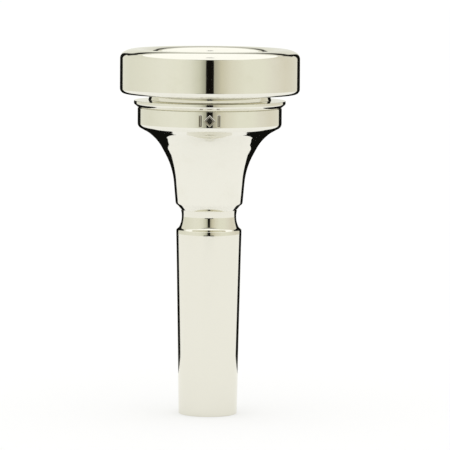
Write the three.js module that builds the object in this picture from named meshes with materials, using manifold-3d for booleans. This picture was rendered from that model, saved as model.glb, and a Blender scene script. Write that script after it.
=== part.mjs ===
// Large-shank trombone mouthpiece in three screwed pieces: rim, cup and shank, with an O-ring at
// each screw joint. Millimetres, +Z up the bore axis, origin at the centre of the shank's end face.
import * as THREE from 'three';
import { mergeVertices } from 'three/addons/utils/BufferGeometryUtils.js';
import Module from 'manifold-3d';

const wasm = await Module();
wasm.setup();

// Overall sizes. Every height is measured from the shank's end face.
const TOTAL_HEIGHT = 79.8;
const RIM_RADIUS = 19.57;
const BAND_RADIUS = 15.68;
const COLLAR_RADIUS = 7.16;
const SHANK_END_RADIUS = 6.4;

// Heights where the pieces meet, and the gap kept between faces that seat on each other.
const RIM_JOINT = 67.05;
const WAIST_JOINT = 44.9;
const SEAT_GAP = 0.28;
const SHOULDER = 44.75;
const COLLAR_TOP = 40.4;
const COLLAR_FOOT = 39.15;

// Bore of the cup and the shank.
const BITE_RADIUS = 12.95;
const THROAT_RADIUS = 3.7;
const BACKBORE_EXIT_RADIUS = 5.65;
const THROAT_FOOT = 45;

// Pitch of both screws, which are right-hand: a turn lifts the upper piece by this much.
const PITCH = 1;

// Rim screw. The spigot is on the rim, the pocket is in the cup.
const RIM_SCREW = { crest: 13.65, root: 13.15, bore: 13.35, deep: 13.85, clear: 0.1 };
const RIM_SPIGOT_END = 63.15;
const RIM_POCKET_FLOOR = 62.9;
const RIM_SEAL_POCKET = { radius: 14.75, floor: 66.05 };

// Shank screw. The spigot is on the shank, the pocket is in the cup's lower end.
const SHANK_SCREW = { crest: 5.55, root: 5.05, bore: 5.25, deep: 5.75, clear: 0.1 };
const SHANK_SPIGOT_TOP = 50.9;
const SHANK_POCKET_ROOF = 51.2;
const SHANK_MOUTH_RADIUS = 5.7;
const SHANK_SEAL_GROOVE = { radius: 4.5, floor: 45.3, roof: 46.3 };

// O-rings: radius of the section's centre, its height and its half thickness.
const RIM_SEAL = { radius: 14.15, height: 66.69, half: 0.4 };
const SHANK_SEAL = { radius: 5.1, height: 45.8, half: 0.4 };

// Facets round the axis, and per turn of each screw thread, so that their corners line up.
const ROUND_FACETS = 32;

const silverPlate = { color: 0xe4e2d2, roughness: 0.08, metalness: 1 };
const sealRubber = { color: 0x17171a, roughness: 0.7, metalness: 0 };

// Points along a circular arc, from one angle to another in degrees.
function arc(centreR, centreZ, radius, fromDeg, toDeg, steps) {
  const points = [];
  for (let i = 0; i <= steps; i += 1) {
    const angle = THREE.MathUtils.degToRad(fromDeg + ((toDeg - fromDeg) * i) / steps);
    points.push([centreR + radius * Math.cos(angle), centreZ + radius * Math.sin(angle)]);
  }
  return points;
}

// A polyline through corners [r, z, fillet]. A corner with a fillet is rounded by a tangent arc.
function rounded(corners) {
  const points = [];
  corners.forEach(([r, z, fillet], i) => {
    const before = corners[i - 1];
    const after = corners[i + 1];
    if (!fillet || !before || !after) {
      points.push([r, z]);
      return;
    }
    const corner = new THREE.Vector2(r, z);
    const back = new THREE.Vector2(before[0], before[1]).sub(corner).normalize();
    const ahead = new THREE.Vector2(after[0], after[1]).sub(corner).normalize();
    const halfAngle = Math.acos(THREE.MathUtils.clamp(back.dot(ahead), -1, 1)) / 2;
    const reach = fillet / Math.sin(halfAngle);
    const centre = back.clone().add(ahead).setLength(reach).add(corner);
    const touch = fillet / Math.tan(halfAngle);
    const first = back.multiplyScalar(touch).add(corner).sub(centre).angle();
    const last = ahead.multiplyScalar(touch).add(corner).sub(centre).angle();
    const sweep = THREE.MathUtils.euclideanModulo(last - first + Math.PI, 2 * Math.PI) - Math.PI;
    const steps = Math.max(2, Math.ceil(Math.abs(sweep) / THREE.MathUtils.degToRad(24)));
    for (let k = 0; k <= steps; k += 1) {
      const angle = first + (sweep * k) / steps;
      points.push([centre.x + fillet * Math.cos(angle), centre.y + fillet * Math.sin(angle)]);
    }
  });
  return points;
}

// A solid from a geometry, with its shared corners merged first.
function solidOf(geometry) {
  geometry.deleteAttribute('normal');
  geometry.deleteAttribute('uv');
  const merged = mergeVertices(geometry);
  return new wasm.Manifold(
    new wasm.Mesh({
      numProp: 3,
      vertProperties: new Float32Array(merged.attributes.position.array),
      triVerts: new Uint32Array(merged.index.array),
    }),
  );
}

// A solid turned from a closed outline that runs anticlockwise in the (r, z) half plane.
function turned(outline) {
  const points = outline.map(([r, z]) => new THREE.Vector2(r, z));
  points.push(points[0].clone());
  return solidOf(new THREE.LatheGeometry(points, ROUND_FACETS).rotateX(Math.PI / 2));
}

// A right-hand helical ridge from one height to another. The height fixes the angle, so that a
// spigot and its pocket mesh. Its section is a trapezoid, and at a faded end it sinks back into
// the core over a quarter turn, as a cut thread runs out.
function helixRidge({ inner, outer, halfInner, halfOuter, low, high, fadeLow, fadeHigh }) {
  const steps = Math.round(((high - low) / PITCH) * ROUND_FACETS);
  const fadeSteps = ROUND_FACETS / 4;
  const positions = [];
  for (let i = 0; i <= steps; i += 1) {
    const z = low + (i / ROUND_FACETS) * PITCH;
    const angle = (z / PITCH) * 2 * Math.PI;
    const riseLow = fadeLow ? (i + 1) / fadeSteps : 1;
    const riseHigh = fadeHigh ? (steps - i + 1) / fadeSteps : 1;
    const crest = inner + (outer - inner) * Math.min(1, riseLow, riseHigh);
    const section = [
      [inner, -halfInner],
      [crest, -halfOuter],
      [crest, halfOuter],
      [inner, halfInner],
    ];
    section.forEach(([r, dz]) => positions.push(r * Math.cos(angle), r * Math.sin(angle), z + dz));
  }
  const index = [0, 1, 2, 0, 2, 3];
  for (let i = 0; i < steps; i += 1) {
    for (let k = 0; k < 4; k += 1) {
      const a = 4 * i + k;
      const b = 4 * i + ((k + 1) % 4);
      index.push(a, a + 4, b, b, a + 4, b + 4);
    }
  }
  const end = 4 * steps;
  index.push(end, end + 2, end + 1, end, end + 3, end + 2);
  const geometry = new THREE.BufferGeometry();
  geometry.setAttribute('position', new THREE.Float32BufferAttribute(positions, 3));
  geometry.setIndex(index);
  return solidOf(geometry);
}

// Half the width of a 60 degree thread at radius r, with a small flat on its crest.
function flankHalfWidth(screw, r) {
  const halfCrestFlat = 0.07;
  return halfCrestFlat + (screw.crest - r) * Math.tan(Math.PI / 6);
}

// The ridge that stands on a spigot. It runs out at both ends.
function maleThread(screw, low, high) {
  const inner = screw.root - 0.06;
  return helixRidge({
    inner,
    outer: screw.crest,
    halfInner: flankHalfWidth(screw, inner),
    halfOuter: flankHalfWidth(screw, screw.crest),
    low,
    high,
    fadeLow: true,
    fadeHigh: true,
  });
}

// The groove's shape in a pocket wall: the ridge, enlarged by the running clearance. It is open
// at the pocket's mouth and runs out at the other end.
function femaleThread(screw, low, high, mouthIsLow) {
  const inner = screw.bore - 0.04;
  return helixRidge({
    inner,
    outer: screw.deep,
    halfInner: flankHalfWidth(screw, inner) + screw.clear,
    halfOuter: flankHalfWidth(screw, screw.deep) + screw.clear,
    low,
    high,
    fadeLow: !mouthIsLow,
    fadeHigh: mouthIsLow,
  });
}

// Rim: crown, upright band, undercut neck and bead, then the threaded spigot and the cup mouth.
function screwRim() {
  const crownRadius = 5.2;
  const shoulderRadius = 1.6;
  const crownCentreR = 16.2;
  const crownCentreZ = TOTAL_HEIGHT - crownRadius;
  const blendDeg = 60.5;
  const blend = THREE.MathUtils.degToRad(blendDeg);
  const shoulderR = crownCentreR + (crownRadius - shoulderRadius) * Math.cos(blend);
  const shoulderZ = crownCentreZ + (crownRadius - shoulderRadius) * Math.sin(blend);
  const underside = RIM_JOINT + SEAT_GAP;
  const spigotNeck = 13.55;
  const outline = [
    ...rounded([
      [10.35, RIM_SPIGOT_END],
      [RIM_SCREW.root, RIM_SPIGOT_END],
      [RIM_SCREW.root, RIM_SEAL_POCKET.floor],
      [spigotNeck, RIM_SEAL_POCKET.floor + 0.15],
      [spigotNeck, underside],
      [15.3, underside],
      [16.52, 68, 0.4],
      [16.5, 68.62, 0.1],
      [13.42, 68.74, 0.1],
      [13.14, 69.6, 0.1],
      [RIM_RADIUS, 70.2, 1.1],
      [RIM_RADIUS, shoulderZ],
    ]),
    ...arc(shoulderR, shoulderZ, shoulderRadius, 0, blendDeg, 3).slice(1),
    ...arc(crownCentreR, crownCentreZ, crownRadius, blendDeg, 90, 2).slice(1),
    ...arc(crownCentreR, crownCentreZ, crownRadius, 90, 116, 2).slice(1),
    [BITE_RADIUS + 0.3, TOTAL_HEIGHT - 1.2],
    [BITE_RADIUS, TOTAL_HEIGHT - 2.4],
    [12.2, 73.2],
    [11.2, 67.2],
  ];
  return turned(outline).add(maleThread(RIM_SCREW, 63.625, 65.75));
}

// Generic mark cut into the front of the band: a lozenge between two upright bars.
function bandMark() {
  const depth = 0.25;
  const height = 65.05;
  const cutAt = (width, tall, x, turn) => {
    const box = new THREE.BoxGeometry(width, 1, tall);
    box.rotateY(turn);
    const surfaceY = -Math.sqrt(BAND_RADIUS ** 2 - x ** 2);
    box.translate(x, surfaceY - 0.5 + depth, height);
    return solidOf(box);
  };
  return cutAt(1.5, 1.5, 0, Math.PI / 4)
    .add(cutAt(0.45, 2.4, -2, 0))
    .add(cutAt(0.45, 2.4, 2, 0));
}

// Cup: mouth with the seal pocket and the rim's thread, bowl, and the pocket for the shank.
function cupBody() {
  const outline = rounded([
    [6.2, WAIST_JOINT],
    [7.3, 46.12, 0.9],
    [7.98, 54, 16],
    [11.1, 59.7, 6],
    [13.1, 61.55, 4],
    [BAND_RADIUS, 62.95, 1.2],
    [BAND_RADIUS, RIM_JOINT],
    [RIM_SEAL_POCKET.radius, RIM_JOINT],
    [RIM_SEAL_POCKET.radius, RIM_SEAL_POCKET.floor],
    [RIM_SCREW.bore, RIM_SEAL_POCKET.floor],
    [RIM_SCREW.bore, RIM_POCKET_FLOOR],
    [10.35, RIM_POCKET_FLOOR],
    [9.2, 60.8],
    [7.9, 59],
    [5.9, 56],
    [4.9, 54],
    [4.3, 52.3],
    [4.2, SHANK_POCKET_ROOF],
    [SHANK_SCREW.bore, SHANK_POCKET_ROOF],
    [SHANK_SCREW.bore, SHANK_SEAL_GROOVE.roof + 0.45],
    [SHANK_MOUTH_RADIUS, SHANK_SEAL_GROOVE.roof + 0.1],
    [SHANK_MOUTH_RADIUS, WAIST_JOINT],
  ]);
  return turned(outline)
    .subtract(femaleThread(RIM_SCREW, 63.25, 66.5, false))
    .subtract(femaleThread(SHANK_SCREW, 46, 50.75, true))
    .subtract(bandMark());
}

// Shank: threaded spigot with its seal groove, waist, collar and long taper, bored through.
function shank() {
  const backbore = [];
  const steps = 5;
  for (let i = 0; i <= steps; i += 1) {
    const depth = i / steps;
    const radius = THROAT_RADIUS + (BACKBORE_EXIT_RADIUS - THROAT_RADIUS) * depth ** 1.3;
    backbore.push([radius, THROAT_FOOT * (1 - depth)]);
  }
  const waistRadius = 5.1;
  const outline = [
    [SHANK_END_RADIUS, 0],
    [COLLAR_RADIUS, COLLAR_FOOT],
    [COLLAR_RADIUS - 0.03, COLLAR_TOP],
    ...arc(11.05, 43.3, waistRadius, 207.4, 163.5, 5),
    [5.4, SHOULDER],
    [5.4, SHANK_SEAL_GROOVE.floor],
    [SHANK_SEAL_GROOVE.radius, SHANK_SEAL_GROOVE.floor],
    [SHANK_SEAL_GROOVE.radius, SHANK_SEAL_GROOVE.roof],
    [SHANK_SCREW.root, SHANK_SEAL_GROOVE.roof],
    [SHANK_SCREW.root, SHANK_SPIGOT_TOP - 0.3],
    [SHANK_SCREW.root - 0.3, SHANK_SPIGOT_TOP],
    [4, SHANK_SPIGOT_TOP],
    [THROAT_RADIUS, SHANK_SPIGOT_TOP - 1.2],
    ...backbore,
  ];
  return turned(outline).add(maleThread(SHANK_SCREW, 46.875, 50.25));
}

// A round O-ring, its section an octagon.
function sealRing({ radius, height, half }) {
  return turned(arc(radius, height, half, 22.5, 337.5, 7));
}

// A named mesh from a solid and a finish.
function piece(name, solid, finish) {
  const { vertProperties, triVerts } = solid.getMesh();
  const geometry = new THREE.BufferGeometry();
  geometry.setAttribute('position', new THREE.Float32BufferAttribute(vertProperties, 3));
  geometry.setIndex(new THREE.Uint32BufferAttribute(triVerts, 1));
  geometry.computeVertexNormals();
  const mesh = new THREE.Mesh(geometry, new THREE.MeshStandardMaterial(finish));
  mesh.name = name;
  return mesh;
}

const mouthpiece = new THREE.Group();
mouthpiece.add(
  piece('screw_rim', screwRim(), silverPlate),
  piece('rim_seal', sealRing(RIM_SEAL), sealRubber),
  piece('cup_body', cupBody(), silverPlate),
  piece('shank_seal', sealRing(SHANK_SEAL), sealRubber),
  piece('shank', shank(), silverPlate),
);

export default mouthpiece;
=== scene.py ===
import math

import bpy
import numpy as np
from mathutils import Matrix, Vector


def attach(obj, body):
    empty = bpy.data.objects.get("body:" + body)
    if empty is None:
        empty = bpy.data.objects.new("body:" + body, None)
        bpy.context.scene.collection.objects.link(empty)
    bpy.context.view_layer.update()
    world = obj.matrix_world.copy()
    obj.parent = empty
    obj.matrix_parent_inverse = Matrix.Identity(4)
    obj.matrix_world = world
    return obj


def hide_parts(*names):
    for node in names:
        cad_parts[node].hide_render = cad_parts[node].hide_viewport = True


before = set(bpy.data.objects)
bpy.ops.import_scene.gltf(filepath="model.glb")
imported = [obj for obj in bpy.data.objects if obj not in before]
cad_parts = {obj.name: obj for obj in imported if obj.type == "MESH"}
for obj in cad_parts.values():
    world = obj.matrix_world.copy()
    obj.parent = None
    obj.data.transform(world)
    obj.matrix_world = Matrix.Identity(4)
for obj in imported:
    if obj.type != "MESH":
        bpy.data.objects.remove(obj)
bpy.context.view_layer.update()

# Camera. A long lens about three quarters of a metre in front of the mouthpiece and a little above
# it, aimed at mid height, with the mouthpiece left of centre.
stand_off = 0.769
eye_height = 0.1135
aim = Vector((0.00351, 0.0, 0.04141))
lean = math.radians(0.427)
eye = Vector((0.0, -stand_off, eye_height))
camera_data = bpy.data.cameras.new("camera")
camera_data.sensor_width = 36.0
camera_data.lens = 283.0
camera_data.clip_start = 0.05
camera_data.clip_end = 40.0
camera = bpy.data.objects.new("camera", camera_data)
facing = (aim - eye).to_track_quat("-Z", "Y").to_matrix().to_4x4()
camera.matrix_world = Matrix.Translation(eye) @ facing @ Matrix.Rotation(lean, 4, "Z")
bpy.context.scene.collection.objects.link(camera)
bpy.context.scene.camera = camera
bpy.context.scene.view_settings.view_transform = "Standard"


# Floor. A plain pale sheet of lit acrylic that the shank's end stands on, wide enough to fill the
# view. Its own glow keeps shadows on it faint.
class Socket:
    """A node's output or a number, with the operators that shader sums need."""

    def __init__(self, tree, link):
        self.tree = tree
        self.link = link

    def make(self, kind, settings=None, **values):
        """A node of this kind, its settings set first, then its sockets by name or number."""
        node = self.tree.nodes.new(kind)
        for key, value in (settings or {}).items():
            if key == "stops":
                ramp = node.color_ramp.elements
                while len(ramp) < len(value):
                    ramp.new(0.5)
                for stop, (place, shade) in zip(ramp, value):
                    stop.position = place
                    stop.color = (*shade, 1.0) if isinstance(shade, tuple) else (shade,) * 3 + (1.0,)
            else:
                setattr(node, key, value)
        for key, value in values.items():
            name = key.replace("_", " ")
            socket = node.inputs[int(key[1:])] if key[1:].isdigit() else node.inputs[name]
            if isinstance(value, Socket):
                self.tree.links.new(value.link, socket)
            else:
                socket.default_value = value
        return node

    def out(self, kind, settings=None, result=0, **values):
        """One output of a new node, wrapped."""
        return Socket(self.tree, self.make(kind, settings, **values).outputs[result])

    def math(self, operation, *others):
        """A Math node with this socket first."""
        values = {f"n{i + 1}": other for i, other in enumerate(others)}
        return self.out("ShaderNodeMath", {"operation": operation}, n0=self, **values)

    def __add__(self, other):
        return self.math("ADD", other)

    def __radd__(self, other):
        return self.math("ADD", other)

    def __sub__(self, other):
        return self.math("SUBTRACT", other)

    def __rsub__(self, other):
        return (self * -1.0) + other

    def __mul__(self, other):
        return self.math("MULTIPLY", other)

    def __rmul__(self, other):
        return self.math("MULTIPLY", other)

    def clamp(self, low, high):
        """This value mapped from low..high to 0..1, smoothly and held at the ends."""
        settings = {"interpolation_type": "SMOOTHSTEP"}
        return self.out("ShaderNodeMapRange", settings, Value=self, From_Min=low, From_Max=high)


def new_material(name):
    """An empty node material, its output node, and a Socket on the object's own coordinates."""
    material = bpy.data.materials.new(name)
    material.use_nodes = True
    tree = material.node_tree
    tree.nodes.clear()
    output = tree.nodes.new("ShaderNodeOutputMaterial")
    place = tree.nodes.new("ShaderNodeTexCoord")
    return material, output, Socket(tree, place.outputs["Object"])


def grid_mesh(name, points, closed_rows, closed_columns, normals=None, tags=None):
    """A mesh from a grid of points, rows by columns. Each cell is one quad, wound so that columns
    going round and rows going up face outwards. tags are named values, one for each point."""
    rows, columns = points.shape[:2]
    i = np.arange(rows if closed_rows else rows - 1)[:, None]
    j = np.arange(columns if closed_columns else columns - 1)[None, :]
    i2, j2 = (i + 1) % rows, (j + 1) % columns
    corners = [i * columns + j, i * columns + j2, i2 * columns + j2, i2 * columns + j]
    faces = np.stack(corners, axis=-1).reshape(-1, 4)
    mesh = bpy.data.meshes.new(name)
    mesh.vertices.add(rows * columns)
    mesh.vertices.foreach_set("co", points.astype(np.float32).ravel())
    mesh.loops.add(faces.size)
    mesh.loops.foreach_set("vertex_index", faces.ravel().astype(np.int32))
    mesh.polygons.add(len(faces))
    mesh.polygons.foreach_set("loop_start", np.arange(0, faces.size, 4, dtype=np.int32))
    mesh.update(calc_edges=True)
    mesh.validate()
    mesh.polygons.foreach_set("use_smooth", np.ones(len(faces), bool))
    for key, values in (tags or {}).items():
        attribute = mesh.attributes.new(key, "FLOAT", "POINT")
        attribute.data.foreach_set("value", values.astype(np.float32).ravel())
    if normals is not None:
        mesh.normals_split_custom_set_from_vertices(normals.reshape(-1, 3).tolist())
    piece = bpy.data.objects.new(name, mesh)
    bpy.context.scene.collection.objects.link(piece)
    return piece


floor_reach = 6.0
floor_drop = 0.00002
corner_x, corner_y = np.meshgrid([-floor_reach, floor_reach], [-floor_reach, floor_reach])
floor_points = np.stack([corner_x, corner_y, 0 * corner_x - floor_drop], axis=-1)
floor = grid_mesh("floor", floor_points, False, False)
floor_material, floor_output, here = new_material("pale_floor")
mottle = here.out("ShaderNodeTexNoise", Vector=here, Scale=9.0, Detail=2.0)
floor_shade = here.out(
    "ShaderNodeMix",
    {"data_type": "RGBA"},
    result=2,
    n0=mottle,
    n6=(0.500, 0.500, 0.498, 1.0),
    n7=(0.512, 0.512, 0.510, 1.0),
)
floor_finish = here.make(
    "ShaderNodeBsdfPrincipled",
    Base_Color=floor_shade,
    Roughness=0.9,
    Emission_Color=(0.415, 0.415, 0.412, 1.0),
    Emission_Strength=1.0,
)
floor_finish.inputs["Specular IOR Level"].default_value = 0.0
here.tree.links.new(floor_finish.outputs[0], floor_output.inputs["Surface"])
floor.data.materials.append(floor_material)

# Studio. A white surround lights the floor. Only polished metal mirrors the rest: a low cream wall
# round the table with a dark slot in front, a dark card behind on each side, and a small dark
# peephole above.
world = bpy.data.worlds.new("surround")
world.use_nodes = True
surround = world.node_tree.nodes["Background"]
surround.inputs["Color"].default_value = (1.0, 1.0, 0.995, 1.0)
surround.inputs["Strength"].default_value = 1.2
bpy.context.scene.world = world


def mirror_only(piece):
    """The piece shows in polished surfaces, and neither to the camera nor in soft light."""
    piece.visible_camera = False
    piece.visible_diffuse = False
    piece.visible_shadow = False
    piece.visible_transmission = False
    piece.visible_volume_scatter = False


def glow(name, shade):
    """A material that gives off light of one shade, or of a shade made by a function of place."""
    material, output, place = new_material(name)
    colour = shade(place) if callable(shade) else shade
    lamp = place.make("ShaderNodeEmission", Color=colour, Strength=1.0)
    place.tree.links.new(lamp.outputs[0], output.inputs["Surface"])
    return material


wall_front = 0.330
wall_back = 0.450
wall_climb = 41.0
sight_height = 0.06


def wall_shade(place):
    """Cream cloth whose shade drifts round the object. Turn is the angle round from the front, and
    climb is the angle up from mid height. Dark are a slot in front for the lens, the gap at the foot
    of the cloth beside it, a seam near the top, and a thin rail across the back. Each clamp says
    where an edge starts and ends, in degrees, or in metres up from the floor for the gap."""
    split = place.make("ShaderNodeSeparateXYZ", Vector=place)
    x, y, z = (Socket(place.tree, split.outputs[k]) for k in range(3))
    turn = x.math("ARCTAN2", y * -1.0) * (180.0 / math.pi)
    off = turn.math("ABSOLUTE")
    climb = (z - sight_height).math("ARCTAN2", (x * x + y * y).math("SQRT")) * (180.0 / math.pi)
    shades = {
        -180: (0.84, 0.84, 0.76),
        -118: (0.83, 0.83, 0.74),
        -95: (0.86, 0.86, 0.77),
        -60: (0.91, 0.91, 0.83),
        -38: (0.90, 0.90, 0.81),
        -25: (0.84, 0.84, 0.75),
        -13: (0.68, 0.68, 0.57),
        -6: (0.42, 0.42, 0.34),
        7: (0.48, 0.46, 0.37),
        14: (0.67, 0.64, 0.51),
        26: (0.80, 0.78, 0.67),
        45: (0.88, 0.88, 0.78),
        70: (0.88, 0.88, 0.78),
        88: (0.84, 0.82, 0.74),
        110: (0.79, 0.76, 0.66),
        180: (0.82, 0.82, 0.75),
    }
    stops = [(0.5 + at / 360, shade) for at, shade in shades.items()]
    cloth = place.out("ShaderNodeValToRGB", {"stops": stops}, Fac=turn * (1 / 360) + 0.5)
    slot = (1.0 - off.clamp(4.3, 5.6)) * (1.0 - climb.clamp(34.0, 37.0))
    foot = (1.0 - off.clamp(15.0, 21.0)) * (1.0 - z.clamp(0.015, 0.019))
    seam = (1.0 - off.clamp(14.0, 44.0)) * climb.clamp(36.0, 38.5) * 0.75
    rail_foot = off.clamp(150.0, 168.0) * 7.0 + 20.0
    rail = (climb - rail_foot).clamp(0.0, 2.0) * (1.0 - climb.clamp(34.5, 37.0))
    rail = rail * off.clamp(133.0, 146.0) * (1.0 - off.clamp(165.0, 178.0) * 0.5)
    dark = slot.math("MAXIMUM", foot).math("MAXIMUM", seam).math("MAXIMUM", rail)
    return place.out(
        "ShaderNodeMix",
        {"data_type": "RGBA"},
        result=2,
        n0=dark,
        n6=cloth,
        n7=(0.006, 0.005, 0.004, 1.0),
    )


wall_turn = np.linspace(0.0, 2 * np.pi, 180, endpoint=False)
wall_radius = wall_front + (wall_back - wall_front) * (1 + np.sin(wall_turn)) / 2
wall_top = sight_height + wall_radius * math.tan(math.radians(wall_climb))
wall_points = np.stack(
    [
        np.stack([wall_radius * np.cos(wall_turn), wall_radius * np.sin(wall_turn), z], -1)
        for z in (wall_top, 0 * wall_top)
    ]
)
wall = grid_mesh("studio_wall", wall_points, False, True)
wall.data.materials.append(glow("cream_cloth", wall_shade))
mirror_only(wall)

# A card's outline from the foot up. Each row runs outwards, with the place across and the height of
# its inner edge, middle and outer edge.
card_distance = 0.048
card_rows = (
    ((0.024, 0.0014), (0.038, 0.0014), (0.066, 0.0014)),
    ((0.021, 0.031), (0.038, 0.031), (0.057, 0.031)),
    ((0.012, 0.042), (0.034, 0.042), (0.053, 0.042)),
    ((0.012, 0.057), (0.034, 0.057), (0.051, 0.060)),
    ((0.020, 0.066), (0.034, 0.066), (0.050, 0.066)),
    ((0.027, 0.080), (0.035, 0.104), (0.049, 0.112)),
)
for side, name in ((-1, "dark_card_left"), (1, "dark_card_right")):
    card_points = np.array([[(side * x, card_distance, z) for x, z in row] for row in card_rows])
    card = grid_mesh(name, card_points, False, False)
    card.data.materials.append(glow("black_card", (0.006, 0.006, 0.005, 1.0)))
    mirror_only(card)

peephole_centre = np.array([0.0, -0.105, 0.48])
peephole_radii = (0.001, 0.028)
peephole_turn = np.linspace(0.0, 2 * np.pi, 48, endpoint=False)
peephole_spokes = np.stack([np.cos(peephole_turn), np.sin(peephole_turn), 0 * peephole_turn], -1)
peephole_points = np.stack([peephole_centre + radius * peephole_spokes for radius in peephole_radii])
peephole = grid_mesh("peephole_above", peephole_points, False, True)
peephole.data.materials.append(glow("dark_hole", (0.02, 0.02, 0.018, 1.0)))
mirror_only(peephole)


# Rim. Brass turned in a lathe, silver plated and polished: a rounded face for the lips, an upright
# band, an undercut neck with a thin bead, and a spigot that screws into the cup.
mm = 0.001
pitch = 1.0
flank = math.tan(math.radians(30.0))
crest_flat = 0.07
seat_height = 67.05
hairline = 0.02
row_margin = 0.02


def corner(r, z, fillet=0.03, step=0.5, cut=0.0, nook=0.0):
    """A corner of an outline, rounded by a fillet, with the run that follows it split by step."""
    return {"spots": np.array([[r, z], [r, z]]), "fillet": fillet, "step": step, "tags": (cut, nook)}


def curve(spots, facing):
    """A smooth stretch of an outline: its spots, and the way that the surface faces at each."""
    return {"spots": spots, "facing": facing, "step": 0.5, "tags": (0.0, 0.0)}


def arc(r, z, radius, start, stop):
    """A stretch of a circle about (r, z), from one angle to another in degrees."""
    angle = np.radians(np.linspace(start, stop, 2 + math.ceil(abs(stop - start) / 4.0)))
    spoke = np.stack([np.cos(angle), np.sin(angle)], 1)
    outward = math.copysign(1.0, stop - start)
    return curve(np.array([r, z]) + spoke * radius, spoke * outward)


def section(items):
    """A closed outline through corners and curves, anticlockwise in (r, z), in mm. A corner becomes
    an arc tangent to both its runs, with more points on a longer bend, and the straight run to the
    next item is split by its step. Each row holds r, z, the outward normal's r and z, cut, nook."""
    rows = []
    for k, item in enumerate(items):
        before, after = items[k - 1], items[(k + 1) % len(items)]
        ahead = after["spots"][0] - item["spots"][-1]
        ahead = ahead / np.linalg.norm(ahead)
        if "facing" in item:
            shape, facing = item["spots"], item["facing"]
        else:
            behind = item["spots"][0] - before["spots"][-1]
            behind = behind / np.linalg.norm(behind)
            bend = math.atan2(behind[0] * ahead[1] - behind[1] * ahead[0], behind @ ahead)
            side = math.copysign(1.0, bend)
            radius = item["fillet"]
            reach = radius * math.tan(abs(bend) / 2)
            inward = np.array([-behind[1], behind[0]]) * side
            centre = item["spots"][0] - behind * reach + inward * radius
            steps = max(3, math.ceil(abs(bend) * (6 + 3 * radius**0.5)))
            turn = np.linspace(0.0, bend, steps + 1)[:, None]
            spoke = np.hstack([-inward[0] * np.cos(turn) + inward[1] * np.sin(turn),
                               -inward[0] * np.sin(turn) - inward[1] * np.cos(turn)])
            shape, facing = centre + spoke * radius, spoke * side
        rows.append((shape, facing, item))
    whole = []
    for k, (shape, facing, item) in enumerate(rows):
        following = rows[(k + 1) % len(rows)][0]
        run = following[0] - shape[-1]
        count = max(1, math.ceil(np.linalg.norm(run) / item["step"]))
        share = np.linspace(0.0, 1.0, count + 1)[1:-1, None]
        flat = np.array([[run[1], -run[0]]]) / np.linalg.norm(run)
        spots = np.vstack([shape, shape[-1] + run * share])
        normals = np.vstack([facing, np.repeat(flat, len(share), 0)])
        whole.append(np.hstack([spots, normals, np.tile(item["tags"], (len(spots), 1))]))
    return np.vstack(whole)


def turned(name, rows, turns, height=None, tarnish_and_shade_at=None, groove=None):
    """A section carried round the axis. height(angle, r, z) is how far the surface stands out along
    its normal, in mm, and the normal leans by its slope along the section and round the axis.
    The fifth argument, a function of (angle, r, z), adds more of the dark warm tint that is partly
    tarnish and partly painted shade, from 0 to 1. groove(angle, r, z) is the least radius there,
    so that a thread cut in a bore also opens through the face or cone at the bore's mouth."""
    r, z, nr, nz, cut, nook = (rows[:, k][:, None] for k in range(6))
    angle = turns[None, :]
    rise = np.zeros((len(rows), len(turns))) if height is None else height(angle, r, z)
    radius = r + rise * nr
    up = z + rise * nz
    if groove is not None:
        deeper = np.maximum(groove(angle, r, z) - radius, 0.0)
        radius = radius + deeper
        rise = rise + deeper * nr
    along = np.linalg.norm(np.roll(rows[:, :2], -1, 0) - rows[:, :2], axis=1)
    apart = np.maximum(along + np.roll(along, 1), 1e-6)[:, None]
    slope_along = (np.roll(rise, -1, 0) - np.roll(rise, 1, 0)) / apart
    spread = (np.roll(turns, -1) - turns) % (2 * np.pi)
    both = (spread + np.roll(spread, 1))[None, :]
    slope_round = (np.roll(rise, -1, 1) - np.roll(rise, 1, 1)) / (both * r)
    lean_r = nr + nz * slope_along
    lean_z = nz - nr * slope_along
    c, s = np.cos(angle), np.sin(angle)
    points = np.stack([radius * c, radius * s, up + 0 * angle], -1) * mm
    normals = np.stack([lean_r * c + slope_round * s, lean_r * s - slope_round * c, lean_z + 0 * c], -1)
    normals /= np.linalg.norm(normals, axis=-1, keepdims=True)
    # More of the dark warm tint, partly tarnish and partly painted shade.
    more_tarnish_and_shade = 0 * angle if tarnish_and_shade_at is None else tarnish_and_shade_at(angle, r, z)
    tags = {"cut": cut + 0 * angle, "nook": np.maximum(nook, more_tarnish_and_shade)}
    return grid_mesh(name, points, True, True, normals, tags)


def ridge(angle, z, depth, half_flat, low, high, open_low=False, open_high=False):
    """Height of a right-hand thread: a trapezoid across, whose middle climbs one pitch each turn
    from low to high, and which fades over a quarter turn at an end that isn't open."""
    climb = z / pitch - angle / (2 * np.pi)
    off = (climb - np.round(climb)) * pitch
    middle = z - off
    full = np.clip((half_flat + depth * flank - np.abs(off)) / flank, 0.0, depth)
    fade_low = 1.0 if open_low else np.clip((middle - low) * 4 / pitch, 0.0, 1.0)
    fade_high = 1.0 if open_high else np.clip((high - middle) * 4 / pitch, 0.0, 1.0)
    return np.minimum(full, depth * np.minimum(fade_low, fade_high))


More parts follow.
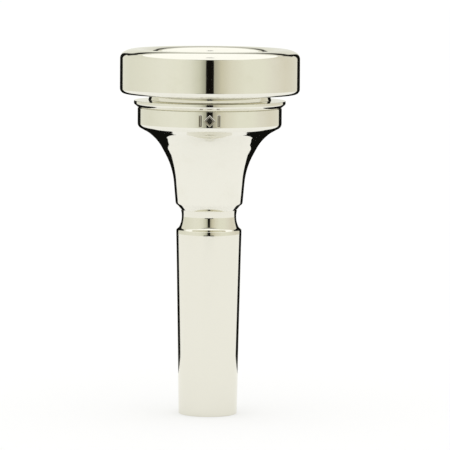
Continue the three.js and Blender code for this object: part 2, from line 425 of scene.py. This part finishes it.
def silver_plate(name, haze, painted_shade=0.0):
    """Mirror-polished silver plate. Fine rings left by the lathe and soft waves left by the buff
    bend its reflections a little, smears of polish dull it in places, cut threads are rougher,
    and a dark warm tint lies in grooves, corners and joints between parts: partly tarnish and
    partly painted shade. haze sets how dull the polish is, and the third argument darkens the
    whole tone evenly, from 0 to 1, as painted shade."""
    material, output, place = new_material(name)
    split = place.make("ShaderNodeSeparateXYZ", Vector=place)
    x, y, z = (Socket(place.tree, split.outputs[k]) for k in range(3))
    radius = (x * x + y * y).math("SQRT")
    rings_at = place.out("ShaderNodeCombineXYZ", X=radius, Z=z)
    rings = place.out("ShaderNodeTexNoise", Vector=rings_at, Scale=5200.0, Detail=3.0)
    waves = place.out("ShaderNodeTexNoise", Vector=place, Scale=170.0, Detail=1.0)
    smears = place.out("ShaderNodeTexNoise", Vector=place, Scale=240.0, Detail=4.0, Roughness=0.62)
    specks = place.out("ShaderNodeTexNoise", Vector=place, Scale=2600.0, Detail=2.0)
    cut = place.out("ShaderNodeAttribute", {"attribute_name": "cut"}, result=2)
    nook = place.out("ShaderNodeAttribute", {"attribute_name": "nook"}, result=2)
    smear = smears.clamp(0.48, 0.72)
    # A dark warm tint where the nook tag marks grooves, corners and joints between parts: partly
    # tarnish, partly painted shade.
    tarnish_and_shade = (nook * (smears * 0.8 + 0.45)).clamp(0.25, 1.0)
    roughness = smear * 0.035 + rings * 0.02 + cut * 0.16 + tarnish_and_shade * 0.14 + haze
    tone = place.out(
        "ShaderNodeMix",
        {"data_type": "RGBA"},
        result=2,
        # The third argument darkens the whole tone evenly: painted shade.
        n0=specks * 0.35 + smear * 0.5 + painted_shade,
        n6=(0.838, 0.825, 0.742, 1.0),
        n7=(0.806, 0.790, 0.697, 1.0),
    )
    colour = place.out(
        "ShaderNodeMix", {"data_type": "RGBA"}, result=2, n0=tarnish_and_shade, n6=tone, n7=(0.20, 0.17, 0.125, 1.0)
    )
    relief = rings * 0.0006 + waves * 0.006 + specks * cut * 0.004
    bump = place.out("ShaderNodeBump", Height=relief, Strength=1.0, Distance=mm)
    metal = place.make(
        "ShaderNodeBsdfPrincipled", Base_Color=colour, Metallic=1.0, Roughness=roughness, Normal=bump
    )
    place.tree.links.new(metal.outputs[0], output.inputs["Surface"])
    return material


def spigot_thread(thread):
    """A height function for turned: the thread stands on rows within row_margin of its root radius,
    between the two heights of its spigot, and its middle climbs over its run."""

    def height(angle, r, z):
        low, high = thread["spigot"]
        on_spigot = (np.abs(r - thread["root"]) < row_margin) & (z > low) & (z < high)
        depth = thread["crest"] - thread["root"]
        return on_spigot * ridge(angle, z, depth, crest_flat, *thread["run"])

    return height


rim_thread = {
    "crest": 13.65,
    "root": 13.15,
    "bore": 13.35,
    "deep": 13.85,
    "spigot": (63.2, 66.1),
    "run": (63.625, 65.75),
}
# A corner's nook gives the plate a dark warm tint from there along its run, in grooves, corners and
# joints between parts: partly tarnish, partly painted shade.
rim_outline = [
    corner(13.25, 78.6, 2.0),
    corner(12.95, 77.4, 1.2),
    corner(12.2, 73.2, 20.0),
    corner(11.2, 67.2, 30.0),
    corner(10.35, 63.05, 0.06),
    corner(13.0, 63.05, 0.1, cut=1),
    corner(rim_thread["root"], 63.25, 0.1, step=0.06, cut=1),
    corner(rim_thread["root"], 66.05, 0.05, cut=1, nook=0.6),
    corner(13.55, 66.2, 0.05, cut=0.6, nook=0.6),
    corner(13.55, seat_height + hairline, 0.1, cut=0.5, nook=1),
    corner(15.5, seat_height + hairline, 0.03, step=0.1),
    corner(16.52, 67.9, 0.45, step=0.1),
    corner(16.5, 68.62, 0.07, step=0.1),
    corner(13.42, 68.74, 0.08),
    corner(13.14, 69.6, 0.08, step=0.4),
    corner(19.57, 70.2, 1.1),
    arc(17.97, 77.73, 1.6, 0, 60.5),
    arc(16.2, 74.6, 5.2, 60.5, 116),
]
all_round = np.linspace(0.0, 2 * np.pi, 320, endpoint=False)
rim = turned("rim_shell", section(rim_outline), all_round, spigot_thread(rim_thread))
rim.data.materials.append(silver_plate("silver_plate_rim", 0.035))
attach(rim, "rim")
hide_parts("screw_rim")

# Rim seal. A moulded rubber O-ring in the groove at the top of the cup, squeezed by the rim.
flash_height = 0.02
flash_spread = 0.09


def o_ring(name, ring_radius, height, thickness):
    """A ring of round section: its middle circle has ring_radius, thickness is its section's radius,
    and a thin line of flash from the mould stands out all round at 45 degrees to the axis."""
    around = np.linspace(0.0, 2 * np.pi, 192, endpoint=False)
    across = np.linspace(0.0, 2 * np.pi, 64, endpoint=False)
    flash = np.exp(-(((across - np.pi / 4) / flash_spread) ** 2))
    reach = thickness + flash_height * flash
    rows = np.stack([
        ring_radius + reach * np.cos(across),
        height + reach * np.sin(across),
        np.cos(across),
        np.sin(across),
        0 * across,
        flash,
    ], 1)
    return turned(name, rows, around)


def black_rubber():
    """Dull black rubber with a fine grain, greyer where dust lies and on the flash."""
    material, output, place = new_material("black_rubber")
    grain = place.out("ShaderNodeTexNoise", Vector=place, Scale=4200.0, Detail=3.0)
    dust = place.out("ShaderNodeTexNoise", Vector=place, Scale=420.0, Detail=3.0)
    flash = place.out("ShaderNodeAttribute", {"attribute_name": "nook"}, result=2)
    colour = place.out(
        "ShaderNodeMix",
        {"data_type": "RGBA"},
        result=2,
        n0=dust.clamp(0.45, 0.7) * 0.6 + flash * 0.3,
        n6=(0.012, 0.012, 0.013, 1.0),
        n7=(0.045, 0.043, 0.042, 1.0),
    )
    bump = place.out("ShaderNodeBump", Height=grain, Strength=0.6, Distance=0.01 * mm)
    rubber = place.make(
        "ShaderNodeBsdfPrincipled",
        Base_Color=colour,
        Metallic=0.0,
        Roughness=0.46 + grain * 0.2,
        Normal=bump,
    )
    place.tree.links.new(rubber.outputs[0], output.inputs["Surface"])
    return material


rubber_finish = black_rubber()
rim_seal = o_ring("rim_o_ring", 14.15, 66.68, 0.39)
rim_seal.data.materials.append(rubber_finish)
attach(rim_seal, "rim_seal")
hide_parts("rim_seal")

# Cup. The same plated brass: an upright band with an engraved mark, a flare, and a long cone with a
# bevelled foot. The rim screws in at the top and the shank at the bottom.
shank_thread = {
    "crest": 5.55,
    "root": 5.05,
    "bore": 5.25,
    "deep": 5.75,
    "spigot": (46.35, 50.6),
    "run": (46.875, 50.25),
}
flank_play = 0.1
shoulder_height = 44.79
band_radius = 15.68
# nook here too is the dark warm tint, partly tarnish and partly painted shade.
cup_outline = [
    corner(6.2, shoulder_height + hairline, 0.02, step=0.3),
    corner(7.3, 46.12, 0.9),
    corner(7.98, 54.0, 16.0),
    corner(11.1, 59.7, 9.0),
    corner(13.1, 61.55, 6.0),
    corner(band_radius, 62.95, 1.2, step=0.06),
    corner(band_radius, seat_height, 0.1, step=0.2),
    corner(14.75, seat_height, 0.08, cut=0.5, nook=1),
    corner(14.75, 66.05, 0.1, step=0.2, cut=0.5, nook=1),
    corner(rim_thread["bore"], 66.05, 0.05, step=0.06, cut=1),
    corner(rim_thread["bore"], 62.9, 0.1, cut=1, nook=1),
    corner(10.35, 62.9, 0.06),
    corner(9.2, 60.8, 6.0),
    corner(7.9, 59.0, 6.0),
    corner(5.9, 56.0, 6.0),
    corner(4.9, 54.0, 6.0),
    corner(4.3, 52.3, 3.0),
    corner(4.2, 51.2, 0.05, cut=0.4, nook=0.4),
    corner(shank_thread["bore"], 51.2, 0.1, step=0.06, cut=1, nook=0.5),
    corner(shank_thread["bore"], 46.75, 0.05, step=0.08, cut=1),
    corner(5.7, 46.4, 0.05, cut=0.6, nook=0.6),
    corner(5.7, shoulder_height + hairline, 0.04, nook=0.6),
]
mark_height = 65.05
mark_depth = 0.25
lozenge_reach = 1.25
bar_width = 0.7
bar_height = 2.6
bar_offset = 2.0


def cup_height(angle, r, z):
    """A mark cut in the front of the band: a lozenge between two upright bars, with sides that
    slope in at 45 degrees."""
    return -np.minimum(inside_mark(angle, r, z), mark_depth)


def cup_groove(angle, r, z):
    """The threads cut in both bores, as a least radius. Each is cut in the rows of its bore and of
    the face or cone at the bore's mouth, and runs out through that mouth."""
    thread_depth = rim_thread["deep"] - rim_thread["bore"]
    half_flat = crest_flat + flank_play
    upper = (z > 63.0) & (z < 66.1) & (r > 13.2) & (r < 13.9)
    lower = (z > 46.2) & (z < 51.1) & (r > 5.2) & (r < 5.8)
    upper_cut = ridge(angle, z, thread_depth, half_flat, 63.25, seat_height, open_high=True)
    lower_cut = ridge(angle, z, thread_depth, half_flat, shoulder_height, 50.75, open_low=True)
    return upper * (rim_thread["bore"] + upper_cut) + lower * (shank_thread["bore"] + lower_cut)


def inside_mark(angle, r, z):
    """How far a point of the band lies inside the mark's outline, in mm, and 0 elsewhere."""
    across = band_radius * np.sin(angle + np.pi / 2)
    up = z - mark_height
    lozenge = (lozenge_reach - np.abs(across) - np.abs(up)) / math.sqrt(2)
    bars = np.minimum(bar_width / 2 - np.abs(np.abs(across) - bar_offset), bar_height / 2 - np.abs(up))
    front = (np.abs(r - band_radius) < row_margin) & (np.sin(angle) < 0)
    return front * np.maximum(np.maximum(lozenge, bars), 0.0)


def mark_tarnish_and_shade(angle, r, z):
    """A dark warm tint in the sloping sides of the mark, and some over its floor: partly tarnish,
    partly painted shade standing in for dark reflections in the steep sides.
    """
    inside = inside_mark(angle, r, z)
    return np.clip(inside / 0.05, 0.0, 1.0) * np.where(inside < mark_depth, 1.0, 0.7)


# Columns round the cup are finer across the mark, so that its edges come out sharp.
fine_span = 2.6 / band_radius
fine_turns = np.linspace(-fine_span, fine_span, 88) - np.pi / 2
coarse_turns = np.linspace(fine_span, 2 * np.pi - fine_span, 234)[1:-1] - np.pi / 2
cup_turns = np.concatenate([fine_turns, coarse_turns])
cup = turned("cup_shell", section(cup_outline), cup_turns, cup_height, mark_tarnish_and_shade, cup_groove)
cup.data.materials.append(silver_plate("silver_plate_cup", 0.035))
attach(cup, "cup")
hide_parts("cup_body")

# Shank seal. A smaller rubber O-ring in the groove below the shank's thread.
shank_seal = o_ring("shank_o_ring", 5.1, 45.8, 0.4)
shank_seal.data.materials.append(rubber_finish)
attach(shank_seal, "shank_seal")
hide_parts("shank_seal")

# Shank. A plated brass tube turned to the taper that wedges in the trombone. Above the taper are a
# collar, a waist and a threaded spigot, and the bore widens towards the open end.
throat_radius = 3.7
backbore_length = 45.0
backbore_widening = 1.95
backbore_bend = 1.3


def backbore():
    """The bore from the throat down to the open end. Its radius is the throat's, plus the widening
    times the depth, as a share of the whole, to the power of the bend."""
    depth = np.linspace(0.0, 1.0, 60)
    radius = throat_radius + backbore_widening * depth**backbore_bend
    spots = np.stack([radius, backbore_length * (1 - depth)], 1)
    runs = np.gradient(spots, axis=0)
    runs /= np.linalg.norm(runs, axis=1, keepdims=True)
    return curve(spots, np.stack([runs[:, 1], -runs[:, 0]], 1))


# nook here too is the dark warm tint, partly tarnish and partly painted shade.
shank_outline = [
    corner(6.4, 0.0, 0.18, step=1.0),
    corner(7.155, 39.8, 7.0),
    corner(7.12, 40.42, 0.3),
    arc(11.05, 43.3, 5.1, 207.4, 163.0),
    corner(5.4, shoulder_height, 0.05, nook=0.8),
    corner(5.4, 45.3, 0.05, nook=1),
    corner(4.5, 45.3, 0.08, nook=1),
    corner(4.5, 46.3, 0.08, nook=1, cut=1),
    corner(shank_thread["root"], 46.3, 0.05, step=0.06, cut=1),
    corner(shank_thread["root"], 50.6, 0.08, cut=1),
    corner(4.75, 50.9, 0.05, cut=0.6),
    corner(4.0, 50.9, 0.1),
    corner(throat_radius, 49.7, 2.0),
    backbore(),
]
shank = turned("shank_tube", section(shank_outline), all_round, spigot_thread(shank_thread))
# The shank's plate is the same silver, a little duller, with its tone darkened evenly as painted shade.
shank.data.materials.append(silver_plate("silver_plate_shank", 0.045, 0.8))
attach(shank, "shank")
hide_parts("shank")
